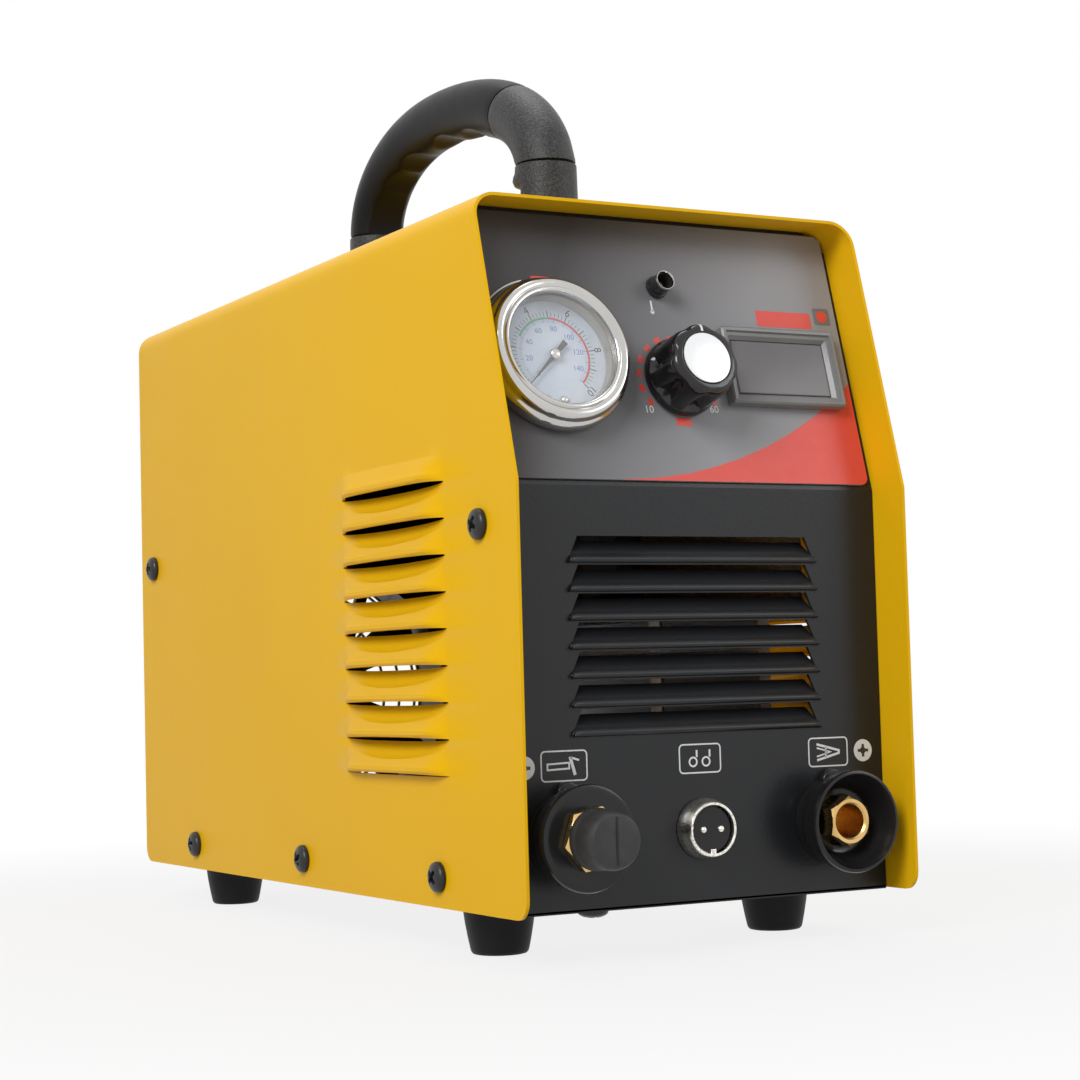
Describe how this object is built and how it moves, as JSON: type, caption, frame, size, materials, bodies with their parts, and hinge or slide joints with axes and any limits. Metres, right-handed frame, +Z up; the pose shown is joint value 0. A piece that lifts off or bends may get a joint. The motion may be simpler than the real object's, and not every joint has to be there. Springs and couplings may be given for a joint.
{
  "type": "plasma cutter unit",
  "caption": "Portable plasma cutting power source: folded metal case with carry handle, gauge, meter, current knob, front sockets and rear fan.",
  "frame": {"origin": "middle of the object's bounding box, on the surface that its feet stand on", "axes": "+Z up, -Y out of the front panel, +X to the right as seen from the front"},
  "size_m": [0.1634, 0.3974, 0.3375],
  "materials": {
    "cover_coat": "yellow powder coat, satin",
    "panel_coat": "black powder coat, fine texture",
    "fascia_print": "printed satin film",
    "tray_zinc": "zinc plated",
    "screw_black": "black oxide, oiled",
    "foot_rubber": "moulded, lightly stippled",
    "cap_rubber": "moulded, matte",
    "grip_plastic": "moulded, satin",
    "gauge_steel": "black lacquer",
    "gauge_chrome": "polished",
    "gauge_glass": "clear, flat",
    "dial_white": "printed white",
    "needle_black": "matte",
    "meter_plastic": "satin",
    "meter_window": "dark tinted, gloss",
    "knob_plastic": "gloss",
    "knob_aluminium": "spun",
    "shaft_steel": "turned",
    "lamp_chrome": "polished",
    "lamp_lens": "red tinted",
    "socket_plastic": "moulded thermoset",
    "contact_brass": "turned",
    "pilot_nickel": "nickel plated",
    "fan_plastic": "moulded",
    "guard_wire": "plated wire",
    "switch_plastic": "satin",
    "rocker_red": "gloss",
    "gland_plastic": "nylon",
    "sink_aluminium": "extruded",
    "board_green": "glass laminate with parts",
    "winding": "taped copper on ferrite",
    "valve_brass": "forged",
    "hose_blue": "polyurethane tube"
  },
  "bodies": {
    "case": {"cover": "cover_coat", "front_panel": "panel_coat", "fascia": "fascia_print", "base_tray": "tray_zinc", "rear_panel": "panel_coat", "base_screw": "screw_black", "gauge_case": "gauge_steel", "gauge_bezel": "gauge_chrome", "gauge_glass": "gauge_glass", "gauge_dial": "dial_white", "meter_case": "meter_plastic", "meter_window": "meter_window", "potentiometer": "shaft_steel", "lamp_bezel": "lamp_chrome", "lamp_lens": "lamp_lens", "torch_socket": "socket_plastic", "torch_nut": "contact_brass", "pilot_socket": "pilot_nickel", "pilot_insert": "socket_plastic", "pilot_pin_left": "contact_brass", "pilot_pin_right": "contact_brass", "earth_socket": "socket_plastic", "earth_contact": "contact_brass", "fan_frame": "fan_plastic", "fan_guard": "guard_wire", "power_switch": "switch_plastic", "cable_gland": "gland_plastic", "air_inlet": "contact_brass", "earth_bolt": "shaft_steel", "heat_sink_front": "sink_aluminium", "heat_sink_rear": "sink_aluminium", "power_board": "board_green", "transformer": "winding", "air_valve": "valve_brass", "air_hose": "hose_blue", "side_screw_left_front": "screw_black", "side_screw_left_low_front": "screw_black", "side_screw_left_low_middle": "screw_black", "side_screw_left_low_rear": "screw_black", "side_screw_left_rear": "screw_black", "side_screw_right_front": "screw_black", "side_screw_right_low_front": "screw_black", "side_screw_right_low_middle": "screw_black", "side_screw_right_low_rear": "screw_black", "side_screw_right_rear": "screw_black", "foot_front_left": "foot_rubber", "foot_front_right": "foot_rubber", "foot_rear_left": "foot_rubber", "foot_rear_right": "foot_rubber", "handle_grip": "grip_plastic", "handle_shroud": "grip_plastic", "handle_rear_leg": "grip_plastic", "handle_front_leg": "grip_plastic"},
    "knob": {"current_knob": "knob_plastic", "knob_cap": "knob_aluminium", "knob_shaft": "shaft_steel"},
    "needle": {"gauge_needle": "needle_black"},
    "fan": {"fan_rotor": "fan_plastic"},
    "rocker": {"power_rocker": "rocker_red"},
    "dust_cap": {"torch_cap": "cap_rubber"}
  },
  "joints": [
    {"name": "knob_turn", "type": "hinge", "parent": "case", "child": "knob", "pos_m": [0.0015, -0.15545, 0.19514], "axis": [0, -0.9654, 0.2609], "range_deg": [-150, 150]},
    {"name": "needle_sweep", "type": "hinge", "parent": "case", "child": "needle", "pos_m": [-0.0476, -0.15386, 0.20103], "axis": [0, 0.9654, -0.2609], "range_deg": [0, 270], "stiffness_Nm_per_rad": 0.0004},
    {"name": "fan_spin", "type": "hinge", "parent": "case", "child": "fan", "pos_m": [0, 0.1707, 0.0895], "axis": [0, 1, 0], "continuous": true},
    {"name": "rocker_tilt", "type": "hinge", "parent": "case", "child": "rocker", "pos_m": [0.036, 0.1674, 0.2015], "axis": [-1, 0, 0], "range_deg": [0, 22]},
    {"name": "cap_pull", "type": "slide", "parent": "case", "child": "dust_cap", "axis": [0, -1, 0], "range_m": [0, 0.03]}
  ]
}
